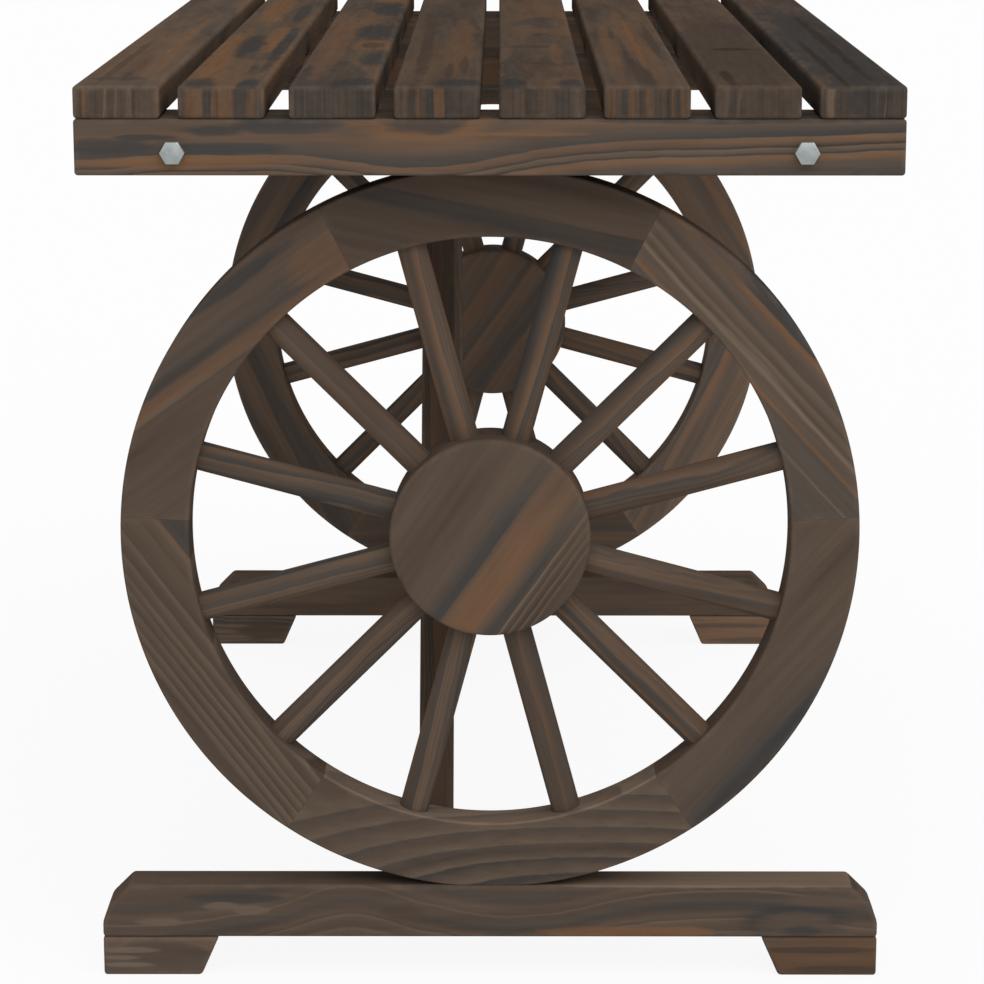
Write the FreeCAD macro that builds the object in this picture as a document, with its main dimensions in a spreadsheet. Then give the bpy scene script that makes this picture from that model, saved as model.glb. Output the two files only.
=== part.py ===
import FreeCAD, Part
import math
import os
import Sketcher
from types import SimpleNamespace

# A low slatted garden table carried by two spoked wooden wheels, as its maker puts it together.
# Lengths are millimetres and angles are degrees. X runs across the table, Y along it and Z up.
# The origin lies on the floor under the table's middle, and the front end is at minus Y.
SIZES = {
    # Slats of the top, with a wider gap after the second slat from each side
    "slat_length": 900,
    "slat_width": 52,
    "slat_thickness": 20,
    "slat_gap": 11,
    "wide_slat_gap": 14.5,
    "slat_edge_radius": 2.5,
    # End aprons, flush with the slat ends, and the cross rails bolted behind them
    "bearer_height": 34,
    "apron_thickness": 30,
    "rail_thickness": 30,
    "rail_length": 460,
    "beam_edge_radius": 2,
    # A batten across the middle of the top, which ties the slats together from below
    "batten_width": 40,
    "batten_thickness": 24,
    "batten_end_inset": 10,
    "batten_screw_bite": 16.5,
    # Wheel rims, planed flat where they meet the foot and the rail
    "rim_outer_radius": 231.5,
    "rim_width": 43,
    "rim_thickness": 28,
    "rim_seat_depth": 1.5,
    "rim_edge_radius": 1.5,
    # Joints between the felloes: two above and two below the rim's middle, two beside it
    "upper_joint_angle": 63,
    "side_joint_angle": 3,
    "lower_joint_angle": 56,
    "dowel_diameter": 8,
    "dowel_length": 36,
    "dowel_end_gap": 0.5,
    # Hubs and spokes
    "hub_radius": 63,
    "hub_thickness": 42,
    "hub_edge_radius": 3,
    "spoke_diameter": 18.4,
    "hub_socket_depth": 18,
    "rim_socket_depth": 20,
    "spoke_end_gap": 0.5,
    # Foot beams with a steep facet and a bevel at each end, and the pads under them
    "foot_length": 498,
    "foot_height": 35,
    "foot_thickness": 30,
    "foot_end_height": 10,
    "foot_facet_height": 11.5,
    "foot_facet_inset": 4.2,
    "pad_height": 26,
    "pad_top_width": 74.5,
    "pad_bottom_width": 63,
    # Braces from the foot beams up to the fourth slat
    "brace_width": 22,
    "brace_depth": 40,
    "brace_angle": 27,
    "brace_inset": 19,
    "brace_toe_height": 28,
    "brace_toe_lift": 2,
    # Hex bolts through apron and rail, set in from the rail's ends, with washers and nuts
    "bolt_diameter": 8,
    "bolt_length": 70,
    "bolt_inset": 39.5,
    "bolt_height": 14,
    "head_flats": 13,
    "head_height": 5.3,
    "washer_diameter": 16,
    "washer_thickness": 1.6,
    "nut_height": 6.5,
    "bolt_clearance": 0.5,
    # Countersunk wood screws, the same size throughout but for shorter ones in the batten
    "screw_diameter": 4.5,
    "screw_length": 50,
    "screw_head_diameter": 9,
    "screw_rim": 0.5,
    "screw_tip": 5,
    "screw_recess": 0.5,
    "slat_screw_spacing": 26,
    "rim_screw_spacing": 36,
    "pad_screw_spacing": 28,
    "pad_screw_inset": 24,
    "brace_toe_grip": 26,
    "brace_top_grip": 34,
    "brace_screw_inset": 25,
    # Room left round spokes, dowels and screws in their holes
    "fit_clearance": 0.1,
}
SPOKE_COUNT = 12
HEX_SIDES = 6
ENDS = {"front": -1, "rear": 1}
UP = FreeCAD.Vector(0, 0, 1)

doc = FreeCAD.newDocument("garden_table")
sheet = doc.addObject("Spreadsheet::Sheet", "Sizes")
for row, (name, number) in enumerate(SIZES.items(), start=1):
    sheet.set(f"A{row}", name)
    sheet.set(f"B{row}", str(number))
    sheet.setAlias(f"B{row}", name)
doc.recompute()


class Size:
    """A size worked out from the sheet: its number, and the expression that ties it to the cells."""

    def __init__(self, number, text):
        self.number = number
        self.text = text

    def __add__(self, other):
        other = as_size(other)
        return Size(self.number + other.number, f"({self.text} + {other.text})")

    def __sub__(self, other):
        other = as_size(other)
        return Size(self.number - other.number, f"({self.text} - {other.text})")

    def __mul__(self, other):
        other = as_size(other)
        return Size(self.number * other.number, f"({self.text} * {other.text})")

    def __truediv__(self, other):
        other = as_size(other)
        return Size(self.number / other.number, f"({self.text} / {other.text})")

    def __radd__(self, other):
        return as_size(other) + self

    def __rsub__(self, other):
        return as_size(other) - self

    def __rmul__(self, other):
        return as_size(other) * self

    def __neg__(self):
        return as_size(0) - self


def as_size(value):
    return value if isinstance(value, Size) else Size(float(value), f"({value:.10f})")


def sine(angle):
    return Size(math.sin(math.radians(angle.number)), f"sin({angle.text} * 1 deg)")


def cosine(angle):
    return Size(math.cos(math.radians(angle.number)), f"cos({angle.text} * 1 deg)")


def vector(*sizes):
    return FreeCAD.Vector(*(as_size(size).number for size in sizes))


size = SimpleNamespace(**{name: Size(number, f"Sizes.{name}") for name, number in SIZES.items()})
nodes = []


def bind(thing, path, value):
    thing.setExpression(path, as_size(value).text)


def place(thing, x, y, z, rotation=FreeCAD.Rotation()):
    """Puts a piece at a worked-out spot of the table and keeps it among the pieces to write."""
    thing.Placement = FreeCAD.Placement(vector(x, y, z), rotation)
    for axis, spot in zip("xyz", (x, y, z)):
        bind(thing, f"Placement.Base.{axis}", spot)
    nodes.append(thing)


def new_body(name):
    body = doc.addObject("PartDesign::Body", name)
    body.Label = name
    return body


def new_sketch(body, plane, name, level=0):
    """A sketch on one of the body's own origin planes, lifted off it by level."""
    sketch = body.newObject("Sketcher::SketchObject", f"{body.Name}_{name}")
    support = next(feature for feature in body.Origin.OriginFeatures if feature.Role == plane)
    sketch.AttachmentSupport = [(support, "")]
    sketch.MapMode = "FlatFace"
    bind(sketch, "AttachmentOffset.Base.z", level)
    return sketch


def limit(sketch, kind, *rest):
    """Adds a measured constraint, whose last part is a Size, and ties it to the sheet."""
    *parts, value = rest
    unit = ""
    number = value.number
    if kind == "Angle":
        unit = " * 1 deg"
        number = math.radians(number)
    index = sketch.addConstraint(Sketcher.Constraint(kind, *parts, number))
    sketch.setExpression(f"Constraints[{index}]", value.text + unit)


def pin(sketch, shape, point, x, y):
    """Ties a point of a sketched shape to its two coordinates, or to an axis where one is nought."""
    for kind, axis, spot in (("DistanceX", -2, x), ("DistanceY", -1, y)):
        if isinstance(spot, Size):
            limit(sketch, kind, -1, 1, shape, point, spot)
        else:
            sketch.addConstraint(Sketcher.Constraint("PointOnObject", shape, point, axis))


def draw_outline(sketch, corners):
    points = [vector(x, y, 0) for x, y in corners]
    for start, end in zip(points, points[1:] + points[:1]):
        sketch.addGeometry(Part.LineSegment(start, end))
    for line, (x, y) in enumerate(corners):
        after = (line + 1) % len(corners)
        sketch.addConstraint(Sketcher.Constraint("Coincident", line, 2, after, 1))
        pin(sketch, line, 1, x, y)


def draw_circles(sketch, centres, diameter):
    for x, y in centres:
        circle = sketch.addGeometry(Part.Circle(vector(x, y, 0), UP, diameter.number / 2))
        pin(sketch, circle, 3, x, y)
        limit(sketch, "Diameter", circle, diameter)


def draw_sector(sketch, inner, outer, start, end):
    """A stretch of a ring round the sketch's origin, from one angle to the next."""
    spread = [math.radians(angle.number) for angle in (start, end)]
    arcs = []
    for radius in (inner, outer):
        circle = Part.Circle(vector(0, 0, 0), UP, radius.number)
        arcs.append(sketch.addGeometry(Part.ArcOfCircle(circle, *spread)))
        sketch.addConstraint(Sketcher.Constraint("Coincident", arcs[-1], 3, -1, 1))
        limit(sketch, "Radius", arcs[-1], radius)
    for arc_end, angle in ((1, start), (2, end)):
        way = (cosine(angle), sine(angle))
        ends = [vector(radius * way[0], radius * way[1], 0) for radius in (inner, outer)]
        joint = sketch.addGeometry(Part.LineSegment(*ends))
        for point, arc in enumerate(arcs, start=1):
            sketch.addConstraint(Sketcher.Constraint("Coincident", joint, point, arc, arc_end))
        sketch.addConstraint(Sketcher.Constraint("PointOnObject", -1, 1, joint))
        limit(sketch, "Angle", joint, angle)


def pad_both_ways(body, sketch, length):
    pad = body.newObject("PartDesign::Pad", f"{body.Name}_stock")
    pad.Profile = sketch
    pad.SideType = "Symmetric"
    bind(pad, "Length", length)
    doc.recompute()
    body.Tip = pad


def ease_edges(body, radius, wanted=lambda edge: True):
    """Rounds the wanted edges of the body as it is so far."""
    stock = body.Tip
    edges = [f"Edge{i}" for i, edge in enumerate(stock.Shape.Edges, start=1) if wanted(edge)]
    fillet = body.newObject("PartDesign::Fillet", f"{body.Name}_eased")
    fillet.Base = (stock, edges)
    bind(fillet, "Radius", radius)
    doc.recompute()
    body.Tip = fillet


def keep_cut(body, cut, before):
    """Makes a cut the body's last feature, once it is sure that it took wood away."""
    doc.recompute()
    if cut.Shape.isNull() or cut.Shape.Volume > before - 0.1:
        raise RuntimeError(f"{cut.Name} cuts nothing")
    body.Tip = cut


def cut_through(body, sketch, name):
    before = body.Tip.Shape.Volume
    pocket = body.newObject("PartDesign::Pocket", f"{body.Name}_{name}")
    pocket.Profile = sketch
    pocket.Type = "ThroughAll"
    pocket.SideType = "Symmetric"
    keep_cut(body, pocket, before)


def drill_screw_holes(body, name, centres, level=0, upward=True, depth=None):
    """Screw holes at a level of the body: countersunk right through it, or plain to a depth."""
    before = body.Tip.Shape.Volume
    sketch = new_sketch(body, "XY_Plane", f"{name}_places", level)
    draw_circles(sketch, centres, screw_hole)
    doc.recompute()
    hole = body.newObject("PartDesign::Hole", f"{body.Name}_{name}")
    hole.Profile = sketch
    doc.recompute()
    hole.Reversed = upward
    hole.DrillPoint = "Flat"
    bind(hole, "Diameter", screw_hole)
    if depth is None:
        hole.DepthType = "ThroughAll"
        hole.HoleCutType = "Countersink"
        hole.HoleCutCustomValues = True
        hole.HoleCutCountersinkAngle = 90
        bind(hole, "HoleCutDiameter", screw_mouth)
    else:
        hole.DepthType = "Dimension"
        bind(hole, "Depth", depth)
    keep_cut(body, hole, before)


def bore(body, name, diameter, depth, start, way):
    """A round hole from a point of the body's own frame, along a direction."""
    before = body.Tip.Shape.Volume
    drill = body.newObject("PartDesign::SubtractiveCylinder", f"{body.Name}_{name}")
    drill.Placement = FreeCAD.Placement(vector(*start), FreeCAD.Rotation(UP, vector(*way)))
    for axis, spot in zip("xyz", start):
        bind(drill, f"Placement.Base.{axis}", spot)
    bind(drill, "Radius", diameter / 2)
    bind(drill, "Height", depth)
    keep_cut(body, drill, before)


def group(name, shapes):
    """One node of separate solids, for pieces that are all alike."""
    thing = doc.addObject("Part::Feature", name)
    thing.Label = name
    thing.Shape = Part.makeCompound(shapes)
    nodes.append(thing)


def stand(shape, spot, way):
    """A copy of a fastener made along plus Z, set at a spot and turned to point along way."""
    copy = shape.copy()
    copy.Placement = FreeCAD.Placement(spot, FreeCAD.Rotation(UP, FreeCAD.Vector(*way)))
    return copy


# Levels and places that the pieces share
screw_hole = size.screw_diameter + 2 * size.fit_clearance
screw_mouth = size.screw_head_diameter + 2 * (size.screw_recess + size.screw_rim + size.fit_clearance)
screw_head_depth = size.screw_rim + (size.screw_head_diameter - size.screw_diameter) / 2
bolt_hole = size.bolt_diameter + 2 * size.bolt_clearance
spoke_hole = size.spoke_diameter + 2 * size.fit_clearance
dowel_hole = size.dowel_diameter + 2 * size.fit_clearance
seat_radius = size.rim_outer_radius - size.rim_seat_depth
rim_inner_radius = size.rim_outer_radius - size.rim_width
rim_middle_radius = size.rim_outer_radius - size.rim_width / 2
foot_bottom = size.pad_height
foot_top = foot_bottom + size.foot_height
wheel_height = foot_top + seat_radius
bearer_bottom = wheel_height + seat_radius
slat_bottom = bearer_bottom + size.bearer_height
apron_middle = size.slat_length / 2 - size.apron_thickness / 2
frame_middle = size.slat_length / 2 - size.apron_thickness - size.rail_thickness / 2
foot_inner = frame_middle - size.foot_thickness / 2
batten_bottom = slat_bottom - size.batten_thickness
batten_screw_length = size.batten_thickness - size.screw_recess + size.batten_screw_bite
bolt_out = size.rail_length / 2 - size.bolt_inset
bolt_places = [(bolt_out * side, size.bolt_height) for side in (-1, 1)]
rim_screw_places = [(size.rim_screw_spacing / 2 * side, 0) for side in (-1, 1)]

narrow = size.slat_gap
wide = size.wide_slat_gap
gaps = [narrow, wide, narrow, narrow, narrow, wide, narrow]
slat_count = len(gaps) + 1
braced_slat = slat_count // 2
top_width = slat_count * size.slat_width + sum(gaps, as_size(0))
slat_middles = [size.slat_width / 2 - top_width / 2]
for gap in gaps:
    slat_middles.append(slat_middles[-1] + size.slat_width + gap)
slat_screw_places = [
    middle + size.slat_screw_spacing / 2 * side for middle in slat_middles for side in (-1, 1)
]

# The braces stand under the slat left of the middle, set in from its edge nearest the middle
brace_middle = (
    slat_middles[braced_slat - 1] + size.slat_width / 2 - size.brace_inset - size.brace_width / 2
)
brace_foot = foot_bottom + size.brace_toe_lift
brace_rise = slat_bottom - brace_foot
brace_lean = sine(size.brace_angle) / cosine(size.brace_angle)
brace_slice = size.brace_depth / cosine(size.brace_angle)
brace_reach = (brace_rise - size.brace_toe_height) * brace_lean
brace_screw_out = brace_reach + size.brace_screw_inset
brace_screw_y = foot_inner - brace_screw_out


# The top: planed boards with rounded edges, screwed from below at both ends and to the batten
def make_slat(number, middle):
    slat = new_body(f"slat_{number}")
    half = size.slat_width / 2
    section = new_sketch(slat, "XZ_Plane", "section")
    draw_outline(
        section, [(-half, 0), (half, 0), (half, size.slat_thickness), (-half, size.slat_thickness)]
    )
    pad_both_ways(slat, section, size.slat_length)
    ease_edges(slat, size.slat_edge_radius)
    pilots = [
        (size.slat_screw_spacing / 2 * side, apron_middle * end)
        for side in (-1, 1)
        for end in ENDS.values()
    ]
    pilot_depth = size.screw_length + size.screw_recess - size.bearer_height + size.fit_clearance
    drill_screw_holes(slat, "pilots", pilots, depth=pilot_depth)
    pilot_depth = size.batten_screw_bite + size.fit_clearance
    drill_screw_holes(slat, "batten_pilot", [(0, 0)], depth=pilot_depth)
    if number == braced_slat:
        brace_pilots = [(brace_middle - middle, brace_screw_y * end) for end in ENDS.values()]
        pilot_depth = size.screw_length - size.brace_top_grip + size.fit_clearance
        drill_screw_holes(slat, "brace_pilots", brace_pilots, depth=pilot_depth)
    place(slat, middle, 0, slat_bottom)


# The batten under the middle of the slats, with one screw up into each of them
def make_batten():
    batten = new_body("middle_batten")
    half = top_width / 2 - size.batten_end_inset
    face = new_sketch(batten, "XZ_Plane", "face")
    draw_outline(
        face, [(-half, 0), (half, 0), (half, size.batten_thickness), (-half, size.batten_thickness)]
    )
    pad_both_ways(batten, face, size.batten_width)
    ease_edges(batten, size.beam_edge_radius)
    drill_screw_holes(batten, "slat_screws", [(middle, 0) for middle in slat_middles])
    place(batten, 0, 0, batten_bottom)


# An end apron, which carries the slat ends and takes the bolt heads
def make_apron(end, side):
    apron = new_body(f"{end}_apron")
    half = top_width / 2
    face = new_sketch(apron, "XZ_Plane", "face")
    draw_outline(
        face, [(-half, 0), (half, 0), (half, size.bearer_height), (-half, size.bearer_height)]
    )
    pad_both_ways(apron, face, size.apron_thickness)
    ease_edges(apron, size.beam_edge_radius)
    bolts = new_sketch(apron, "XZ_Plane", "bolt_places")
    draw_circles(bolts, bolt_places, bolt_hole)
    cut_through(apron, bolts, "bolt_holes")
    drill_screw_holes(apron, "slat_screws", [(spot, 0) for spot in slat_screw_places])
    place(apron, 0, apron_middle * side, bearer_bottom)


# A cross rail, which sits on the wheel and is bolted to the apron's inner side
def make_rail(end, side):
    rail = new_body(f"{end}_cross_rail")
    half = size.rail_length / 2
    face = new_sketch(rail, "XZ_Plane", "face")
    draw_outline(
        face, [(-half, 0), (half, 0), (half, size.bearer_height), (-half, size.bearer_height)]
    )
    pad_both_ways(rail, face, size.rail_thickness)
    ease_edges(rail, size.beam_edge_radius)
    bolts = new_sketch(rail, "XZ_Plane", "bolt_places")
    draw_circles(bolts, bolt_places, bolt_hole)
    cut_through(rail, bolts, "bolt_holes")
    drill_screw_holes(rail, "rim_screws", rim_screw_places, size.bearer_height, upward=False)
    place(rail, 0, frame_middle * side, bearer_bottom)


# A foot beam, with its ends cut back in two slopes
def make_foot(end, side):
    foot = new_body(f"{end}_foot_beam")
    half = size.foot_length / 2
    facet_top = size.foot_end_height + size.foot_facet_height
    bevel = size.foot_height - facet_top
    right = [
        (half, 0),
        (half, size.foot_end_height),
        (half - size.foot_facet_inset, facet_top),
        (half - size.foot_facet_inset - bevel, size.foot_height),
    ]
    face = new_sketch(foot, "XZ_Plane", "face")
    draw_outline(face, right + [(-x, y) for x, y in reversed(right)])
    pad_both_ways(foot, face, size.foot_thickness)
    ease_edges(foot, size.beam_edge_radius)
    drill_screw_holes(foot, "rim_screws", rim_screw_places)
    pilots = [(spot, 0) for spot in pad_screw_spots()]
    pilot_depth = size.screw_length + size.screw_recess - size.pad_height + size.fit_clearance
    drill_screw_holes(foot, "pad_pilots", pilots, depth=pilot_depth)
    toe_screw = size.brace_toe_lift + size.brace_toe_height / 2
    start = (brace_middle, size.foot_thickness / 2 * -side, toe_screw)
    pilot_depth = size.screw_length - size.brace_toe_grip + size.fit_clearance
    bore(foot, "brace_pilot", screw_hole, pilot_depth, start, (0, side, 0))
    place(foot, 0, frame_middle * side, foot_bottom)


def pad_screw_spots():
    """Where the pad screws stand across the table, two in each pad."""
    outer = size.foot_length / 2 - size.pad_screw_inset
    inner = outer - size.pad_screw_spacing
    return [spot * side for side in (-1, 1) for spot in (outer, inner)]


# The four pads, upright outside and slanted inside, under the ends of the foot beams
def make_pads():
    pad = new_body("pad_pattern")
    face = new_sketch(pad, "XZ_Plane", "face")
    outer = size.foot_length / 2
    draw_outline(
        face,
        [
            (outer - size.pad_bottom_width, 0),
            (outer, 0),
            (outer, size.pad_height),
            (outer - size.pad_top_width, size.pad_height),
        ],
    )
    pad_both_ways(pad, face, size.foot_thickness)
    ease_edges(pad, size.beam_edge_radius)
    drill_screw_holes(pad, "screws", [(spot, 0) for spot in pad_screw_spots()[2:]])
    shapes = []
    for end in ENDS.values():
        for turn in (0, 180):
            copy = pad.Shape.copy()
            spot = vector(0, frame_middle * end, 0)
            copy.Placement = FreeCAD.Placement(spot, FreeCAD.Rotation(UP, turn))
            shapes.append(copy)
    group("foot_pads", shapes)


# A wheel: six felloes doweled end to end, twelve round spokes and a turned hub
felloe_spans = {
    "upper_right": (size.side_joint_angle, size.upper_joint_angle),
    "top": (size.upper_joint_angle, 180 - size.upper_joint_angle),
    "upper_left": (180 - size.upper_joint_angle, 180 - size.side_joint_angle),
    "lower_left": (180 - size.side_joint_angle, 180 + size.lower_joint_angle),
    "bottom": (180 + size.lower_joint_angle, 360 - size.lower_joint_angle),
    "lower_right": (360 - size.lower_joint_angle, 360 + size.side_joint_angle),
}
spoke_angles = [(number + 0.5) * 360 / SPOKE_COUNT for number in range(SPOKE_COUNT)]
seated = {"top": 1, "bottom": -1}


def make_felloe(end, side, where, start, finish):
    felloe = new_body(f"{end}_felloe_{where}")
    face = new_sketch(felloe, "XZ_Plane", "face")
    draw_sector(face, rim_inner_radius, size.rim_outer_radius, start, finish)
    pad_both_ways(felloe, face, size.rim_thickness)
    ease_edges(felloe, size.rim_edge_radius, lambda edge: edge.Curve.TypeId == "Part::GeomCircle")
    if where in seated:
        up = seated[where]
        seat = new_sketch(felloe, "XZ_Plane", "seat_place")
        across = size.rim_outer_radius
        beyond = size.rim_outer_radius + size.rim_seat_depth
        draw_outline(
            seat,
            [
                (-across, seat_radius * up),
                (across, seat_radius * up),
                (across, beyond * up),
                (-across, beyond * up),
            ],
        )
        cut_through(felloe, seat, "seat")
        pilot_depth = size.screw_length + size.screw_recess + size.fit_clearance
        pilot_depth = pilot_depth - (size.bearer_height if up > 0 else size.foot_height)
        for number, (spot, middle) in enumerate(rim_screw_places, start=1):
            top = (spot, middle, seat_radius * up)
            bore(felloe, f"screw_pilot_{number}", screw_hole, pilot_depth, top, (0, 0, -up))
    for angle in spoke_angles:
        for turn in (angle, angle + 360):
            if start.number < turn < finish.number:
                way = (math.cos(math.radians(turn)), 0, math.sin(math.radians(turn)))
                room = size.rim_edge_radius
                mouth = [(rim_inner_radius - room) * part for part in way]
                depth = size.rim_socket_depth + room
                bore(felloe, f"socket_{angle:.0f}", spoke_hole, depth, mouth, way)
    dowel_depth = size.dowel_length / 2 + size.dowel_end_gap
    for name, angle, ahead in (("first", start, 1), ("last", finish, -1)):
        mouth = (rim_middle_radius * cosine(angle), 0, rim_middle_radius * sine(angle))
        way = (-sine(angle) * ahead, 0, cosine(angle) * ahead)
        bore(felloe, f"{name}_dowel_hole", dowel_hole, dowel_depth, mouth, way)
    place(felloe, 0, frame_middle * side, wheel_height)


def make_hub(end, side):
    hub = new_body(f"{end}_hub")
    face = new_sketch(hub, "XZ_Plane", "face")
    draw_circles(face, [(0, 0)], 2 * size.hub_radius)
    pad_both_ways(hub, face, size.hub_thickness)
    ease_edges(hub, size.hub_edge_radius, lambda edge: edge.Curve.TypeId == "Part::GeomCircle")
    first = math.radians(spoke_angles[0])
    way = (math.cos(first), 0, math.sin(first))
    bottom = [(size.hub_radius - size.hub_socket_depth) * part for part in way]
    depth = size.hub_socket_depth + size.hub_edge_radius
    bore(hub, "first_socket", spoke_hole, depth, bottom, way)
    before = hub.Tip.Shape.Volume
    sockets = hub.newObject("PartDesign::PolarPattern", f"{hub.Name}_sockets")
    axle = next(feature for feature in hub.Origin.OriginFeatures if feature.Role == "Y_Axis")
    sockets.Originals = [hub.Tip]
    sockets.Axis = (axle, [""])
    sockets.Angle = 360
    sockets.Occurrences = SPOKE_COUNT
    keep_cut(hub, sockets, before)
    place(hub, 0, frame_middle * side, wheel_height)


def make_spoke(end, side, number, angle):
    spoke = doc.addObject("Part::Cylinder", f"{end}_spoke_{number:02d}")
    spoke.Label = spoke.Name
    near = size.hub_radius - size.hub_socket_depth + size.spoke_end_gap
    far = rim_inner_radius + size.rim_socket_depth - size.spoke_end_gap
    bind(spoke, "Radius", size.spoke_diameter / 2)
    bind(spoke, "Height", far - near)
    way = (math.cos(math.radians(angle)), 0, math.sin(math.radians(angle)))
    turned = FreeCAD.Rotation(UP, FreeCAD.Vector(*way))
    place(spoke, near * way[0], frame_middle * side, wheel_height + near * way[2], turned)


# A brace: its toe stands against the foot beam's inner side, its top is cut level under the slat
def make_brace(end, side):
    brace = new_body(f"{end}_brace")
    face = new_sketch(brace, "YZ_Plane", "side")
    heel = brace_slice - size.brace_toe_height * brace_lean
    draw_outline(
        face,
        [
            (0, 0),
            (heel, 0),
            (brace_reach + brace_slice, brace_rise),
            (brace_reach, brace_rise),
            (0, size.brace_toe_height),
        ],
    )
    pad_both_ways(brace, face, size.brace_width)
    ease_edges(brace, size.beam_edge_radius)
    seat = size.screw_head_diameter + 2 * size.fit_clearance
    toe = size.brace_toe_height / 2
    bore(brace, "toe_screw_hole", screw_hole, size.brace_toe_grip, (0, 0, toe), (0, 1, 0))
    start = (0, size.brace_toe_grip - screw_head_depth, toe)
    bore(brace, "toe_screw_seat", seat, brace_slice, start, (0, 1, 0))
    top = (0, brace_screw_out, brace_rise)
    bore(brace, "top_screw_hole", screw_hole, size.brace_top_grip, top, (0, 0, -1))
    start = (0, brace_screw_out, brace_rise - size.brace_top_grip + screw_head_depth)
    bore(brace, "top_screw_seat", seat, brace_slice, start, (0, 0, -1))
    turned = FreeCAD.Rotation(UP, 0 if side < 0 else 180)
    place(brace, brace_middle, foot_inner * side, brace_foot, turned)


# Fasteners, each made once along plus Z with its seat at nought
def hexagon(height):
    corner = size.head_flats.number / 2 / math.cos(math.pi / HEX_SIDES)
    turns = [2 * math.pi * number / HEX_SIDES for number in range(HEX_SIDES + 1)]
    points = [FreeCAD.Vector(corner * math.cos(t), corner * math.sin(t), 0) for t in turns]
    return Part.Face(Part.makePolygon(points)).extrude(UP * height.number)


def make_bolts():
    shank_radius = size.bolt_diameter.number / 2
    head = hexagon(size.head_height)
    head.translate(UP * -size.head_height.number)
    bolt = head.fuse(Part.makeCylinder(shank_radius, size.bolt_length.number)).removeSplitter()
    opening = shank_radius + size.fit_clearance.number
    washer = Part.makeCylinder(size.washer_diameter.number / 2, size.washer_thickness.number)
    washer = washer.cut(Part.makeCylinder(opening, size.washer_thickness.number))
    nut = hexagon(size.nut_height)
    nut = nut.cut(Part.makeCylinder(opening, size.nut_height.number))
    rail_inner = frame_middle - size.rail_thickness / 2
    places = {
        "hex_bolts_and_nuts": [
            (bolt, size.slat_length / 2),
            (nut, rail_inner - size.washer_thickness),
        ],
        "bolt_washers": [(washer, rail_inner)],
    }
    for name, pieces in places.items():
        shapes = []
        for shape, out in pieces:
            for side in ENDS.values():
                for x, height in bolt_places:
                    spot = vector(x, out * side, bearer_bottom + height)
                    turned = FreeCAD.Rotation(FreeCAD.Vector(1, 0, 0), 90 * side)
                    copy = shape.copy()
                    copy.Placement = FreeCAD.Placement(spot, turned)
                    shapes.append(copy)
        group(name, shapes)


def make_screw(length):
    shank = size.screw_diameter.number / 2
    head = size.screw_head_diameter.number / 2
    rim = size.screw_rim.number
    corners = [
        (0, 0),
        (head, 0),
        (head, rim),
        (shank, rim + head - shank),
        (shank, (length - size.screw_tip).number),
        (0, length.number),
        (0, 0),
    ]
    section = Part.Face(Part.makePolygon([FreeCAD.Vector(x, 0, z) for x, z in corners]))
    return section.revolve(FreeCAD.Vector(), UP, 360)


def make_screws():
    screw = make_screw(size.screw_length)
    batten_screw = make_screw(batten_screw_length)
    recess = size.screw_recess
    shapes = []
    for x in slat_middles:
        shapes.append(stand(batten_screw, vector(x, 0, batten_bottom + recess), (0, 0, 1)))
    for side in ENDS.values():
        for x in slat_screw_places:
            spot = vector(x, apron_middle * side, bearer_bottom + recess)
            shapes.append(stand(screw, spot, (0, 0, 1)))
        for x, middle in rim_screw_places:
            spot = vector(x, frame_middle * side, slat_bottom - recess)
            shapes.append(stand(screw, spot, (0, 0, -1)))
            spot = vector(x, frame_middle * side, foot_bottom + recess)
            shapes.append(stand(screw, spot, (0, 0, 1)))
        for x in pad_screw_spots():
            spot = vector(x, frame_middle * side, recess)
            shapes.append(stand(screw, spot, (0, 0, 1)))
        toe = brace_foot + size.brace_toe_height / 2
        spot = vector(brace_middle, (foot_inner - size.brace_toe_grip) * side, toe)
        shapes.append(stand(screw, spot, (0, side, 0)))
        spot = vector(brace_middle, brace_screw_y * side, slat_bottom - size.brace_top_grip)
        shapes.append(stand(screw, spot, (0, 0, 1)))
    group("wood_screws", shapes)


def make_dowels():
    half = size.dowel_length.number / 2
    dowel = Part.makeCylinder(size.dowel_diameter.number / 2, size.dowel_length.number)
    shapes = []
    for side in ENDS.values():
        for joint, finish in felloe_spans.values():
            across = rim_middle_radius * cosine(joint)
            height = wheel_height + rim_middle_radius * sine(joint)
            way = vector(-sine(joint), 0, cosine(joint))
            spot = vector(across, frame_middle * side, height) - way * half
            shapes.append(stand(dowel, spot, way))
    group("felloe_dowels", shapes)


for number, middle in enumerate(slat_middles, start=1):
    make_slat(number, middle)
make_batten()
for end, side in ENDS.items():
    make_apron(end, side)
    make_rail(end, side)
    make_foot(end, side)
    make_brace(end, side)
    make_hub(end, side)
    for where, (start, finish) in felloe_spans.items():
        make_felloe(end, side, where, start, finish)
    for number, angle in enumerate(spoke_angles, start=1):
        make_spoke(end, side, number, angle)
make_pads()
make_bolts()
make_screws()
make_dowels()

doc.recompute()
for thing in doc.Objects:
    if "Invalid" in thing.State or "Error" in thing.State:
        raise RuntimeError(f"{thing.Name} failed: {thing.State}")
for node in nodes:
    if node.Shape.isNull() or not node.Shape.isValid():
        raise RuntimeError(f"{node.Label} has no valid shape")

os.makedirs("parts", exist_ok=True)
for node in nodes:
    node.Shape.exportStep(f"parts/{node.Label}.step")

whole = Part.makeCompound([node.Shape for node in nodes]).BoundBox
print(f"{len(nodes)} nodes, {sum(len(node.Shape.Solids) for node in nodes)} solids")
print(f"box {whole.XLength:.1f} x {whole.YLength:.1f} x {whole.ZLength:.1f}, floor {whole.ZMin:.3f}")
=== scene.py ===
import math

import bmesh
import bpy
from mathutils import Matrix, Vector


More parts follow.
